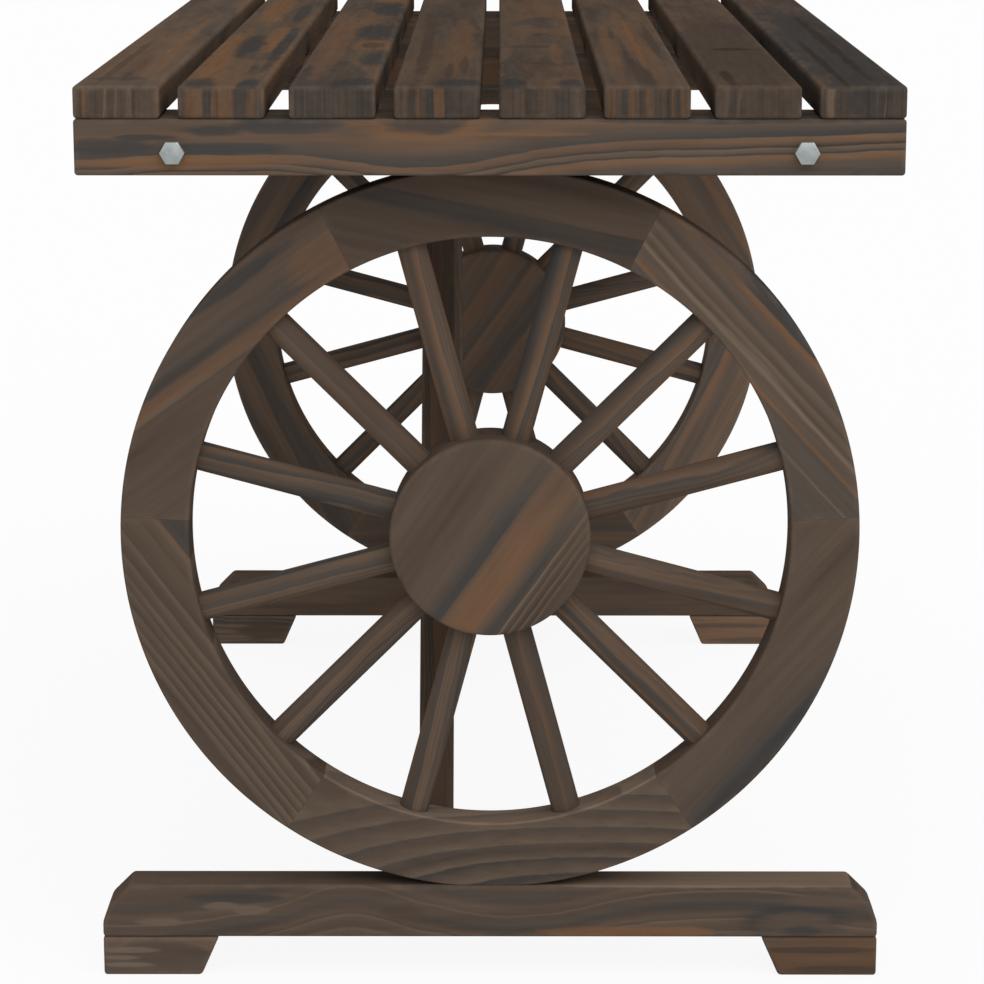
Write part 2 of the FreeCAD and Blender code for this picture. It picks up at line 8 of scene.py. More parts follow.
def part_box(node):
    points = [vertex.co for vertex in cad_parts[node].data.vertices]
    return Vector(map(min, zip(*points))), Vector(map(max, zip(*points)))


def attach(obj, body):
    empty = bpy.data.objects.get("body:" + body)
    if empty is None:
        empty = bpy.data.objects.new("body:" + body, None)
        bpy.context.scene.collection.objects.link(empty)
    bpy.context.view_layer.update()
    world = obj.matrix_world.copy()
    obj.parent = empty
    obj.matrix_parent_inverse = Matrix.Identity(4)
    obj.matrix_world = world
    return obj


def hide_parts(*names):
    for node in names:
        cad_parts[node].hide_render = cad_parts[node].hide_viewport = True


# A low slatted garden table on two wagon wheels, dressed in the order in which it is put together:
# wheels, feet, rails, aprons, slats, batten, braces, and then the bolts and screws.
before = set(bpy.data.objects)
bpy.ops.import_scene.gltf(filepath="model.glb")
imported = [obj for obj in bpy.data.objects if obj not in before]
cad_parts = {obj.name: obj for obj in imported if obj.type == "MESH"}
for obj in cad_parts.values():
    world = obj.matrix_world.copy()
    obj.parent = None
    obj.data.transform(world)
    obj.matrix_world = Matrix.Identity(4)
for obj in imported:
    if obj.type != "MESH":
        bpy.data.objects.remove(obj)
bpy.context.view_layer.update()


# The hubs: a thick turned disc in the middle of each wheel, of softwood stained dark brown.
# Its edge is eased, its side is bored for twelve spokes, and its grain runs on the slant.
ends = {"front": -1, "rear": 1}
crosswise = Vector((1, 0, 0))
lengthwise = Vector((0, 1, 0))
upward = Vector((0, 0, 1))
hub_radius = 0.063
hub_thickness = 0.042
hub_edge = 0.003
hub_socket_depth = 0.018
hub_grain_slope = math.radians(55)
hub_tone = 1.04
hub_cuts = {"front": (0.4, 0.2, 0.0), "rear": (2.4, 0.162, 0.03)}
hub_fade = (0.40, 0.47)
hub_figure = [
    (137, "umber"), (150, "brown"), (170, "umber"), (188, "brown"), (196, "ash"), (201, "slate"),
    (204.5, "slate"), (205.5, "brown"), (208, "russet"), (224, "amber"), (230, "brown"), (235, "slate"),
    (239.3, "slate"), (239.8, "pale"), (241.5, "umber"), (244, "dusk"), (244.5, "fawn"), (246, "umber"),
    (248.7, "dusk"), (249.2, "fawn"), (250.5, "umber"), (253, "dusk"), (253.5, "fawn"), (255, "umber"),
    (263, "umber"),
]
spoke_hole_radius = 0.0093
spoke_count = 12
spoke_spacing = 360 / spoke_count
spoke_turns = [math.radians(spoke_spacing * (number + 0.5)) for number in range(spoke_count)]
edge_support = 0.002
millimetres = 1000


def eased(corners, radius, steps=4, support=edge_support):
    """The outline with each corner rounded, and a point set back on both sides of the rounding."""
    outline = []
    for before, corner, after in zip(corners[-1:] + corners[:-1], corners, corners[1:] + corners[:1]):
        corner = Vector(corner)
        back = (Vector(before) - corner).normalized()
        ahead = (Vector(after) - corner).normalized()
        half = back.angle(ahead) / 2
        reach = radius / math.tan(half)
        middle = corner + (back + ahead).normalized() * (radius / math.sin(half))
        first = corner + back * reach - middle
        last = corner + ahead * reach - middle
        outline.append(corner + back * (reach + support))
        for step in range(steps + 1):
            outline.append(middle + first.slerp(last, step / steps) * radius)
        outline.append(corner + ahead * (reach + support))
    return outline


def turned(profile, sides, closed=False):
    """A solid of revolution about Z, from the (radius, height) points of its outline."""
    solid = bmesh.new()
    rings = []
    for radius, height in profile:
        ring = []
        for side in range(sides if radius else 1):
            turn = math.tau * side / sides
            ring.append(solid.verts.new((radius * math.cos(turn), radius * math.sin(turn), height)))
        rings.append(ring)
    for lower, upper in zip(rings, rings[1:] + (rings[:1] if closed else [])):
        for side in range(sides):
            corners = []
            for ring, turn in ((lower, side), (lower, side + 1), (upper, side + 1), (upper, side)):
                corner = ring[turn % len(ring)]
                if corner not in corners:
                    corners.append(corner)
            if len(corners) > 2:
                solid.faces.new(corners)
    bmesh.ops.recalc_face_normals(solid, faces=solid.faces[:])
    return solid


def set_along(solid, spot, way):
    """Stands a solid made along Z at a spot, pointing along way."""
    turn = Vector(way).to_track_quat("Z", "Y").to_matrix().to_4x4()
    bmesh.ops.transform(solid, matrix=Matrix.Translation(spot) @ turn, verts=solid.verts[:])
    return solid


def joined(solids):
    """One mesh of several solids."""
    whole = bmesh.new()
    for solid in solids:
        mesh = bpy.data.meshes.new("part")
        solid.to_mesh(mesh)
        whole.from_mesh(mesh)
        bpy.data.meshes.remove(mesh)
        solid.free()
    return whole


def carved(solid, cutters, way="DIFFERENCE"):
    """The solid less the cutters, or what it shares with them."""
    things = []
    for name, shape in (("stock", solid), ("cutter", joined(cutters))):
        mesh = bpy.data.meshes.new(name)
        shape.to_mesh(mesh)
        shape.free()
        things.append(bpy.data.objects.new(name, mesh))
        bpy.context.scene.collection.objects.link(things[-1])
    cut = things[0].modifiers.new("cut", "BOOLEAN")
    cut.operation = way
    cut.solver = "EXACT"
    cut.object = things[1]
    stock = things[0].evaluated_get(bpy.context.evaluated_depsgraph_get())
    result = bmesh.new()
    result.from_mesh(stock.to_mesh())
    stock.to_mesh_clear()
    for thing in things:
        bpy.data.meshes.remove(thing.data)
    return result


def bore(spot, way, radius, depth, overrun=0.0):
    """A plain drill of a radius, from overrun before the spot to a depth along way."""
    profile = [(0, -overrun), (radius, -overrun), (radius, depth), (0, depth)]
    return set_along(turned(profile, sides=32), spot, way)


def outward(turn):
    """The direction from a wheel's middle out to its rim, at a turn."""
    return Vector((math.cos(turn), 0, math.sin(turn)))


def onward(turn):
    """The direction round a wheel's rim, at a turn."""
    return Vector((-math.sin(turn), 0, math.cos(turn)))


class Shade:
    """One output of a shader node. Python's operators on it add Math nodes to its material."""

    def __init__(self, tree, socket=None):
        self.tree = tree
        self.socket = socket

    def node(self, kind, settings, sockets, outlet=0):
        """One outlet of a new node, with its settings made and its sockets set or linked."""
        made = self.tree.nodes.new(kind)
        for key, setting in settings.items():
            if key == "stops":
                ramp = made.color_ramp
                ramp.elements.remove(ramp.elements[1])
                ramp.elements[0].position, ramp.elements[0].color = setting[0]
                for spot, colour in setting[1:]:
                    ramp.elements.new(spot).color = colour
            elif key == "bend":
                made.color_ramp.interpolation = setting
            else:
                setattr(made, key, setting)
        for key, value in sockets.items():
            if isinstance(value, Shade):
                self.tree.links.new(value.socket, made.inputs[key])
            else:
                made.inputs[key].default_value = value
        return Shade(self.tree, made.outputs[outlet] if made.outputs else None)

    def maths(self, operation, *values):
        """A Math node on these values."""
        return self.node("ShaderNodeMath", {"operation": operation}, dict(enumerate(values)))

    def __add__(self, other):
        return self.maths("ADD", self, other)

    def __sub__(self, other):
        return self.maths("SUBTRACT", self, other)

    def __mul__(self, other):
        return self.maths("MULTIPLY", self, other)

    def __truediv__(self, other):
        return self.maths("DIVIDE", self, other)

    def __pow__(self, other):
        return self.maths("POWER", self, other)

    def __rsub__(self, other):
        return self.maths("SUBTRACT", other, self)

    __radd__ = __add__
    __rmul__ = __mul__

    def rise(self, low, high):
        """A smooth step from nought at low to one at high."""
        sockets = {"Value": self, "From Min": low, "From Max": high}
        return self.node("ShaderNodeMapRange", {"interpolation_type": "SMOOTHSTEP"}, sockets)

    def cloud(self, scale, detail=2.0):
        """Noise on this vector, with its own number of spots to the metre along each axis."""
        spread = self.node("ShaderNodeVectorMath", {"operation": "MULTIPLY"}, {0: self, 1: scale})
        sockets = {"Vector": spread, "Scale": 1.0, "Detail": detail}
        return self.node("ShaderNodeTexNoise", {}, sockets, "Fac")

    def over(self, colour, amount):
        """This colour with another laid over it by an amount."""
        settings = {"data_type": "RGBA", "clamp_factor": True}
        factor, under, upper, result = 0, 6, 7, 2
        return self.node("ShaderNodeMix", settings, {factor: amount, under: self, upper: colour}, result)


def paint(name):
    """A new material with an empty tree, to start a finish from."""
    material = bpy.data.materials.new(name)
    material.use_nodes = True
    material.node_tree.nodes.clear()
    return material, Shade(material.node_tree)


def tint(red, green, blue):
    """A colour of the finish, given as it looks in a plain light, as a shader takes it."""
    linear = [((part / 255 + 0.055) / 1.055) ** 2.4 for part in (red, green, blue)]
    return (*linear, 1.0)


stains = {
    "brown": tint(88, 75, 65),
    "umber": tint(76, 65, 57),
    "ash": tint(77, 70, 64),
    "slate": tint(61, 60, 59),
    "dusk": tint(58, 50, 44),
    "hazel": tint(95, 80, 67),
    "russet": tint(103, 80, 63),
    "amber": tint(112, 83, 61),
    "fawn": tint(101, 87, 75),
    "pale": tint(118, 101, 86),
}


def figured(ring, figure):
    """The stain at each ring, from a figure of (millimetres from the log's middle, stain) stops."""
    first, last = figure[0][0], figure[-1][0]
    stops = [((place - first) / (last - first), stains[stain]) for place, stain in figure]
    share = (ring * millimetres - first) / (last - first)
    return ring.node("ShaderNodeValToRGB", {"stops": stops}, {0: share})


def sagging(along, length, sag):
    """How far the grain sags along a piece of a length, from millimetres at even steps along it.
    The curve may swing past its stops, so these keep a margin from the ends of the ramp."""
    margin = 0.1
    low, high = min(sag), max(sag)
    scale = (1 - 2 * margin) / (high - low)
    shares = [margin + scale * (depth - low) for depth in sag]
    stops = [(step / (len(sag) - 1), (share, share, share, 1.0)) for step, share in enumerate(shares)]
    curve = along.node("ShaderNodeValToRGB", {"stops": stops, "bend": "CARDINAL"}, {0: along / length})
    return (curve - margin) * (1 / (scale * millimetres)) + low / millimetres


def banded(brown, log, radius, smoke, band, slate, amber, lines):
    """Bands round the log's middle, which go from amber over brown to slate and start again at an
    edge. Some hold thin growth lines, and dark blots lie along the grain. Gives the colour, and how
    far the growth lines stand up."""
    bands = radius / band
    sockets = {"W": bands * 0.43, "Scale": 1.0}
    crowding = bands.node("ShaderNodeTexNoise", {"noise_dimensions": "1D"}, sockets, "Fac")
    bands = bands + crowding * 1.5
    number = bands.maths("FLOOR", bands)
    share = bands - number
    chance = number.node("ShaderNodeTexWhiteNoise", {"noise_dimensions": "1D"}, {"W": number}, "Color")
    slate_chance, amber_chance, line_chance = (
        chance.node("ShaderNodeSeparateColor", {}, {0: chance}, part) for part in range(3)
    )
    most_lines = 6
    count = (line_chance ** 1.4) * most_lines
    count = count.maths("FLOOR", count) + 1
    fine = share * count
    fine = fine.maths("FRACT", fine)
    glow = log.cloud((2.6, 15, 24), 1.5).rise(0.36, 0.62)
    blots = log.cloud((3.5, 30, 30), 1.5).rise(0.58, 0.74)
    late = share.rise(0.2, 0.92) * (1 - share.rise(0.93, 1.0))
    early = (1 - share.rise(0.12, 0.85)) * share.rise(0.0, 0.05)
    darkened = (late * (slate_chance + 0.1) * (smoke * 0.7 + 0.3) + blots * 0.5) * slate
    warmed = early * (amber_chance * 1.1) * (glow * 0.8 + 0.2) * amber
    pale = (1 - (fine / count * band).rise(0.0002, 0.0017)) * (line_chance * 0.7 + 0.3) * lines
    dusk = fine.rise(0.35, 1.0) * (line_chance * 0.45) * lines
    colour = brown.over(stains["amber"], warmed)
    colour = colour.over(stains["slate"], darkened)
    colour = colour.over(stains["dusk"], dusk)
    colour = colour.over(stains["pale"], pale)
    return colour, pale * 0.4 - dusk * 0.5


def striped(brown, log, ring, end_figure):
    """End grain: the stripes of a figure, with dark pores and light streaks among them."""
    stripes = brown.over(figured(ring, end_figure), 0.62)
    pores = log.cloud((6, 520, 6), 2.0)
    stripes = stripes.over(stains["dusk"], pores.rise(0.5, 0.72) * 0.5)
    return stripes.over(stains["fawn"], (1 - pores).rise(0.6, 0.75) * 0.5)


def stained_wood(
    name, band=0.02, wave=0.01, slate=0.8, amber=0.6, lines=0.3,
    figure=None, cover=0.52, fade=None, sag=None, end_figure=None, marks=(),
):
    """Softwood under dark stain, in bands round the log's middle. A figure gives the rings of one
    piece, fading out between two places along the grain, or following the (length, sag) of its
    grain. An end figure gives the stripes on its end grain, and marks are flecks and streaks in a
    stain's colour, one of them a painted highlight: place along and across, half length, half width,
    stain."""
    material, start = paint(name)
    log = start.node("ShaderNodeAttribute", {"attribute_name": "log"}, {}, "Vector")
    tone, wear, end_grain = (
        start.node("ShaderNodeAttribute", {"attribute_name": attribute}, {}, "Fac")
        for attribute in ("tone", "wear", "end_grain")
    )
    along, across, deep = (log.node("ShaderNodeSeparateXYZ", {}, {0: log}, axis) for axis in "XYZ")

    wander = log.cloud((5.0, 11, 11), 1.0) - 0.5
    ripple = log.cloud((20, 46, 46), 1.0) - 0.5
    teeth = log.cloud((70, 320, 320), 1.0) - 0.5
    smoke = log.cloud((3.4, 20, 20), 1.5).rise(0.34, 0.62)
    streak = log.cloud((5, 60, 60), 2.0)
    silk = log.cloud((15, 230, 230), 3.0)
    fibre = log.cloud((30, 800, 800), 2.0)
    grain_dip = 0.5
    ripple_wave = wave * 0.2
    teeth_wave = 0.0012
    end_wave = 0.004
    if sag:
        radius = across - deep * grain_dip - sagging(along, *sag)
    else:
        radius = (across * across + deep * deep) ** 0.5
    radius = radius + wander * wave + ripple * ripple_wave + teeth * teeth_wave
    stops = [(0.3, stains["umber"]), (0.5, stains["brown"]), (0.72, stains["hazel"])]
    brown = start.node("ShaderNodeValToRGB", {"stops": stops}, {0: streak})

    height = fibre * 0.2
    if figure:
        strength = smoke * 0.4 + cover
        if fade:
            strength = strength * (1 - along.rise(*fade) * 0.7)
        colour = brown.over(figured(radius, figure), strength)
    else:
        colour, raised = banded(brown, log, radius, smoke, band, slate, amber, lines)
        height = height + raised
    for place, aside, half_length, half_width, stain in marks:
        reach = ((along - place) / half_length) ** 2 + ((across - aside) / half_width) ** 2
        mark = 1 - (reach + ripple * 1.6 + teeth * 0.8).rise(0.3, 1.3)
        colour = colour.over(stains[stain], mark * 0.8)
    if end_figure:
        stripes = striped(brown, log, across + (ripple + wander) * end_wave, end_figure)
        colour = colour.over(stripes, end_grain)

    colour = colour.over(stains["dusk"], (0.5 - fibre).rise(0.04, 0.3) * 0.16)
    rubbed = wear * log.cloud((60, 60, 60), 3.0).rise(0.35, 0.7)
    colour = colour.over(stains["pale"], rubbed * 0.2)
    value = tone * (1 - end_grain * 0.1) * (silk * 0.4 + 0.8)
    colour = start.node("ShaderNodeHueSaturation", {}, {"Value": value, "Color": colour})
    sockets = {"Height": height + silk * 0.4, "Strength": 0.4, "Distance": 0.0005}
    relief = start.node("ShaderNodeBump", {}, sockets)
    rough = fibre * 0.12 + 0.66 - wear * 0.08
    sockets = {"Base Color": colour, "Roughness": rough, "Normal": relief, "Specular IOR Level": 0.0}
    surface = start.node("ShaderNodeBsdfPrincipled", {}, sockets)
    start.node("ShaderNodeOutputMaterial", {}, {"Surface": surface})
    return material


def keep_piece(name, solid, material, nodes):
    """Makes a piece of the table out of a finished solid, in place of its CAD nodes."""
    sharp_bend = math.radians(38)
    mesh = bpy.data.meshes.new(name)
    solid.to_mesh(mesh)
    solid.free()
    mesh.shade_smooth()
    mesh.set_sharp_from_angle(angle=sharp_bend)
    mesh.materials.append(material)
    piece = bpy.data.objects.new(name, mesh)
    bpy.context.scene.collection.objects.link(piece)
    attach(piece, "root")
    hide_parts(*nodes)
    return piece


def keep_wood(node, solid, material, grain, across, cut, tone=1.0, spot=None):
    """Keeps a wooden piece with its place in the log it was sawn from: the directions of its grain
    and of its width, and where a spot of it, or else its middle, lay: along, across and deep. Its
    tone is how light the stain came out, and on the inside of the front bottom felloe painted light
    as well, as one number or as a function of the place."""
    worn_bend = math.radians(13)
    squarely = 0.97
    grain = Vector(grain).normalized()
    across = (Vector(across) - grain * grain.dot(Vector(across))).normalized()
    worn = []
    ends_of_grain = []
    for vert in solid.verts:
        normals = [face.normal for face in vert.link_faces]
        bend = max((normals[0].angle(other, 0) for other in normals), default=0)
        worn.append(1.0 if bend > worn_bend else 0.0)
        cut_across = any(abs(normal.dot(grain)) > squarely for normal in normals)
        ends_of_grain.append(1.0 if cut_across else 0.0)
    piece = keep_piece(f"{node}_wood", solid, material, [node])
    low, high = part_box(node)
    turn = Matrix((grain, across, grain.cross(across)))
    spot = Vector(spot) if spot else (low + high) / 2
    places = []
    tones = []
    for vert in piece.data.vertices:
        places.extend(turn @ (vert.co - spot) + Vector(cut))
        tones.append(tone(vert.co) if callable(tone) else tone)
    piece.data.attributes.new("log", "FLOAT_VECTOR", "POINT").data.foreach_set("vector", places)
    for name, values in (("wear", worn), ("end_grain", ends_of_grain), ("tone", tones)):
        piece.data.attributes.new(name, "FLOAT", "POINT").data.foreach_set("value", values)


def wheel_middle(end):
    """The middle of the wheel at an end of the table."""
    low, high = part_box(f"{end}_hub")
    return (low + high) / 2


wheel_wood = stained_wood("wheel_wood", band=0.026, wave=0.012, slate=0.85, amber=0.7, lines=0.1)
hub_woods = {
    "front": stained_wood("hub_wood", wave=0.005, figure=hub_figure, fade=hub_fade),
    "rear": wheel_wood,
}
hub_half = hub_thickness / 2
hub_corners = [(0, -hub_half), (hub_radius, -hub_half), (hub_radius, hub_half), (0, hub_half)]
hub_rim = [spot for spot in eased(hub_corners, hub_edge) if spot.x > hub_radius / 2]
hub_profile = [(0, -hub_half), *hub_rim, (0, hub_half)]
for end in ends:
    middle = wheel_middle(end)
    hub = set_along(turned(hub_profile, sides=128), middle, -lengthwise)
    sockets = []
    for turn in spoke_turns:
        mouth = middle + outward(turn) * (hub_radius - hub_socket_depth)
        sockets.append(bore(mouth, outward(turn), spoke_hole_radius, 2 * hub_socket_depth))
    hub = carved(hub, sockets)
    grain = outward(hub_grain_slope)
    width = -onward(hub_grain_slope)
    face = middle - lengthwise * hub_half
    keep_wood(f"{end}_hub", hub, hub_woods[end], grain, width, hub_cuts[end], hub_tone, face)


# The spokes: twelve round rods to a wheel, glued into sockets of the hub and of the rim. They
# are turned from the same stained softwood, with the grain along them.
spoke_radius = 0.0092
spoke_near = 0.0455
spoke_far = 0.208
spoke_end = 0.0012
spoke_rings = 8
spoke_tones = (1.04, 1.08, 1.02, 1.06, 1.0)
spoke_cuts = {"front": Vector((0, 0.034, 0.012)), "rear": Vector((6, 0.034, 0.012))}
spoke_step = Vector((0.31, 0.0031, 0.0017))
spoke_length = spoke_far - spoke_near
spoke_profile = [
    (0, 0),
    (spoke_radius - spoke_end, 0),
    (spoke_radius, spoke_end),
    *[(spoke_radius, spoke_length * ring / spoke_rings) for ring in range(1, spoke_rings)],
    (spoke_radius, spoke_length - spoke_end),
    (spoke_radius - spoke_end, spoke_length),
    (0, spoke_length),
]
spoke_wood = stained_wood("spoke_wood", band=0.009, wave=0.022, slate=0.9, amber=0.9, lines=0.2)
for end in ends:
    for number, turn in enumerate(spoke_turns):
        way = outward(turn)
        spoke = turned(spoke_profile, sides=40)
        spoke = set_along(spoke, wheel_middle(end) + way * spoke_near, way)
        cut = spoke_cuts[end] + spoke_step * (number + 1)
        tone = spoke_tones[number % len(spoke_tones)]
        node = f"{end}_spoke_{number + 1:02d}"
        keep_wood(node, spoke, spoke_wood, way, way.cross(lengthwise), cut, tone)


# The felloes: six curved pieces that make the rim of a wheel, sawn from planks with the grain
# about along each chord, doweled end to end, and planed flat where they meet foot and rail.
rim_outer = 0.2315
rim_inner = 0.1885
rim_thickness = 0.028
rim_edge = 0.0015
rim_seat = 0.230
rim_socket_depth = 0.020
rim_steps = 44
joint_bevel = 0.00015
dowel_hole_radius = 0.0041
dowel_hole_depth = 0.0185
drill_overrun = 0.002
felloe_spans = {
    "upper_right": (3, 63),
    "top": (63, 117),
    "upper_left": (117, 177),
    "lower_left": (177, 236),
    "bottom": (236, 304),
    "lower_right": (304, 363),
}
felloe_tones = {
    "front": {
        "upper_right": 1.1, "top": 0.87, "upper_left": 0.98,
        "lower_left": 0.97, "bottom": 0.95, "lower_right": 1.0,
    },
    "rear": {
        "upper_right": 1.22, "top": 0.9, "upper_left": 0.96,
        "lower_left": 0.95, "bottom": 0.95, "lower_right": 1.5,
    },
}
# How much lighter the inner face of the front wheel's bottom felloe is painted: painted light from above.
painted_inside_light = 1.6
felloe_slopes = {"upper_right": -47, "top": -12, "upper_left": 36, "lower_left": -53, "lower_right": 48}
felloe_figures = {
    "upper_right": [
        (140, "ash"), (168, "ash"), (169, "fawn"), (171, "ash"), (183, "ash"), (184.5, "amber"),
        (187, "brown"), (192, "brown"), (194, "pale"), (196.5, "umber"), (198.5, "brown"),
        (200.5, "fawn"), (202.5, "umber"), (205, "brown"), (208.5, "fawn"), (210.5, "slate"),
        (213, "umber"), (217, "brown"), (221, "amber"), (223, "amber"), (223.8, "slate"),
        (233, "slate"),
    ],
    "top": [
        (150, "brown"), (188, "umber"), (192, "slate"), (201, "slate"), (202, "brown"), (215, "brown"),
        (222, "umber"), (233, "brown"),
    ],
    "upper_left": [
        (140, "brown"), (174, "umber"), (180, "brown"), (183, "umber"), (184.5, "fawn"), (187, "amber"),
        (192, "russet"), (196, "slate"), (203, "ash"), (216, "brown"), (233, "umber"),
    ],
    "lower_left": [
        (140, "slate"), (159, "slate"), (160, "amber"), (162, "fawn"), (168, "umber"), (170.5, "brown"),
        (181.5, "umber"), (182.5, "fawn"), (185, "brown"), (190, "umber"), (191, "fawn"),
        (194, "brown"), (196.5, "umber"), (197.5, "fawn"), (201, "umber"), (202, "fawn"),
        (206.5, "umber"), (207.5, "fawn"), (212, "umber"), (213, "fawn"), (217, "umber"), (218, "fawn"),
        (222, "umber"), (233, "brown"),
    ],
    "bottom": [
        (0, "umber"), (30, "slate"), (30.8, "fawn"), (36, "brown"), (40, "slate"), (41, "fawn"),
        (46, "umber"), (50, "ash"), (50.8, "fawn"), (56, "brown"), (60.5, "ash"), (61.5, "fawn"),
        (68, "brown"), (72, "ash"), (73, "fawn"), (79, "brown"), (83, "ash"), (84, "fawn"),
        (95, "brown"), (110, "umber"), (111, "fawn"), (125, "brown"),
    ],
    "lower_right": [
        (140, "brown"), (165, "brown"), (175, "umber"), (190, "brown"), (205, "brown"), (215, "ash"),
        (224, "slate"), (233, "slate"),
    ],
}
felloe_marks = {
    "upper_right": [(-42, 226, 40, 8, "brown"), (30, 196, 40, 3, "fawn")],
    "upper_left": [(25, 203, 32, 13, "russet"), (-30, 222, 40, 5, "slate")],
    "lower_right": [(60, 224, 60, 6, "slate")],
}
felloe_waves = {"upper_right": 0.009, "bottom": 0.006}
plain_wave = 0.004
plank_length = 0.8
plank_step = Vector((plank_length, 0.021, -0.012))
rear_plank = Vector((9, 0.11, 0.03))
# The growth rings of the front wheel's bottom felloe arch over a middle just below it.
arch_middle = Vector((0.063, 0, -0.2515))
arch_tilt = math.radians(16.4)
arch_grain = Vector((math.cos(arch_tilt), math.sin(arch_tilt), 0))
rim_middle = (rim_inner + rim_outer) / 2
joint_lead = joint_bevel / rim_middle
rim_half = rim_thickness / 2
rim_corners = [
    (rim_inner, -rim_half),
    (rim_outer, -rim_half),
    (rim_outer, rim_half),
    (rim_inner, rim_half),
]
rim_section = eased(rim_corners, rim_edge, steps=3)
front_middle = wheel_middle("front")


def placed(marks, along=0, across=0):
    """Marks in millimetres from a place of the piece, as they lie in its log, where that place lay
    at along and across."""
    lying = []
    for place, aside, half_length, half_width, stain in marks:
        spot = (along + place / millimetres, across + aside / millimetres)
        lying.append((*spot, half_length / millimetres, half_width / millimetres, stain))
    return lying


def inside_painted_light(place):
    """The bottom felloe of the front wheel, painted lighter on its inner face, as if light from above fell
    in on it.
    """
    out = place - front_middle
    inside = math.hypot(out.x, out.z) < rim_inner + rim_edge / 2
    return felloe_tones["front"]["bottom"] * (painted_inside_light if inside else 1)


def bent(section, turns):
    """A closed section of (radius, depth) points carried round Y, and drawn in at each turn."""
    solid = bmesh.new()
    rings = []
    for turn, shrink in turns:
        ring = []
        for spot in section:
            radius = spot.x + math.copysign(shrink, rim_middle - spot.x)
            depth = spot.y + math.copysign(shrink, -spot.y)
            ring.append(solid.verts.new((radius * math.cos(turn), depth, radius * math.sin(turn))))
        rings.append(ring)
    for lower, upper in zip(rings, rings[1:]):
        for here, there in zip(range(len(lower)), [*range(1, len(lower)), 0]):
            solid.faces.new((lower[here], lower[there], upper[there], upper[here]))
    solid.faces.new(rings[0])
    solid.faces.new(rings[-1])
    bmesh.ops.recalc_face_normals(solid, faces=solid.faces[:])
    return solid


for end in ends:
    middle = wheel_middle(end)
    face = middle - lengthwise * rim_half
    for number, (where, span) in enumerate(felloe_spans.items()):
        start, finish = (math.radians(turn) for turn in span)
        step = (finish - start - 2 * joint_lead) / rim_steps
        turns = [(start + joint_lead + step * index, 0) for index in range(rim_steps + 1)]
        felloe = bent(rim_section, [(start, joint_bevel), *turns, (finish, joint_bevel)])
        for vert in felloe.verts:
            vert.co.z = max(-rim_seat, min(rim_seat, vert.co.z))
        drills = []
        for turn in spoke_turns:
            if start < turn < finish:
                mouth = outward(turn) * (rim_inner - rim_socket_depth)
                drills.append(bore(mouth, outward(turn), spoke_hole_radius, 2 * rim_socket_depth))
        for turn, ahead in ((start, 1), (finish, -1)):
            mouth = outward(turn) * rim_middle
            way = onward(turn) * ahead
            drills.append(bore(mouth, way, dowel_hole_radius, dowel_hole_depth, drill_overrun))
        felloe = carved(felloe, drills)
        bmesh.ops.translate(felloe, vec=middle, verts=felloe.verts[:])
        node = f"{end}_felloe_{where}"
        chord = (start + finish) / 2
        if end == "rear":
            cut = rear_plank + plank_step * number
            tone = felloe_tones[end][where]
            keep_wood(node, felloe, wheel_wood, onward(chord), outward(chord), cut, tone)
            continue
        if where == "bottom":
            grain, width = arch_grain, upward
            spot = face + arch_middle
            # The inner face of this felloe is painted lighter, as painted light falling into the rim.
            tone = inside_painted_light
        else:
            grain, width = outward(math.radians(felloe_slopes[where])), outward(chord)
            spot = face
            tone = felloe_tones[end][where]
        plank_start = plank_length * number
        plank = stained_wood(
            f"{where}_felloe_wood", wave=felloe_waves.get(where, plain_wave), figure=felloe_figures[where],
            marks=placed(felloe_marks.get(where, []), plank_start),
        )
        keep_wood(node, felloe, plank, grain, width, (plank_start, 0, 0), tone, spot)


# The dowels: short bare pegs with chamfered ends, glued into the holes of the joints between the
# felloes, out of sight.
dowel_radius = 0.004
dowel_length = 0.036
dowel_end = 0.001
dowel_end_radius = 0.0033
dowel_cut = (0.2, 0.05, 0.01)
dowel_tone = 1.5
dowel_profile = [
    (0, 0),
    (dowel_end_radius, 0),
    (dowel_radius, dowel_end),
    (dowel_radius, dowel_length - dowel_end),
    (dowel_end_radius, dowel_length),
    (0, dowel_length),
]
dowel_wood = stained_wood("dowel_wood", band=0.004, wave=0.002, slate=0.1, amber=0.5, lines=0.4)
dowels = []
for end in ends:
    for span in felloe_spans.values():
        turn = math.radians(span[0])
        way = onward(turn)
        spot = wheel_middle(end) + outward(turn) * rim_middle - way * (dowel_length / 2)
        dowels.append(set_along(turned(dowel_profile, sides=24), spot, way))
keep_wood(
    "felloe_dowels", joined(dowels), dowel_wood, crosswise, upward, dowel_cut, dowel_tone
)


# The foot beams: a planed beam under each wheel, with its ends cut back in two slopes and its
# edges eased. The wheel is screwed to it from below, and the flat grain shows on its face.
beam_edge = 0.002
foot_end_height = 0.010
foot_facet_top = 0.0215
foot_facet_inset = 0.0042
foot_tone = 1.04
foot_figure = [
    (-60, "umber"), (-45, "brown"), (-36, "umber"), (-30, "slate"), (-26, "umber"), (-24, "brown"),
    (-19.4, "umber"), (-18.7, "fawn"), (-17, "umber"), (-13, "ash"), (-9, "slate"), (-6, "umber"),
    (-3, "brown"), (-0.6, "umber"), (0, "fawn"), (2, "brown"), (6, "umber"), (8.2, "ash"),
    (8.8, "fawn"), (11, "brown"), (16, "umber"), (16.6, "fawn"), (20, "brown"),
]
foot_sag = [
    45, 45, 43, 39, 34.5, 27, 19.5, 20.5, 28, 34, 39, 39.5, 37, 31, 26.5, 23.5, 22, 22, 23.5, 26, 29,
]
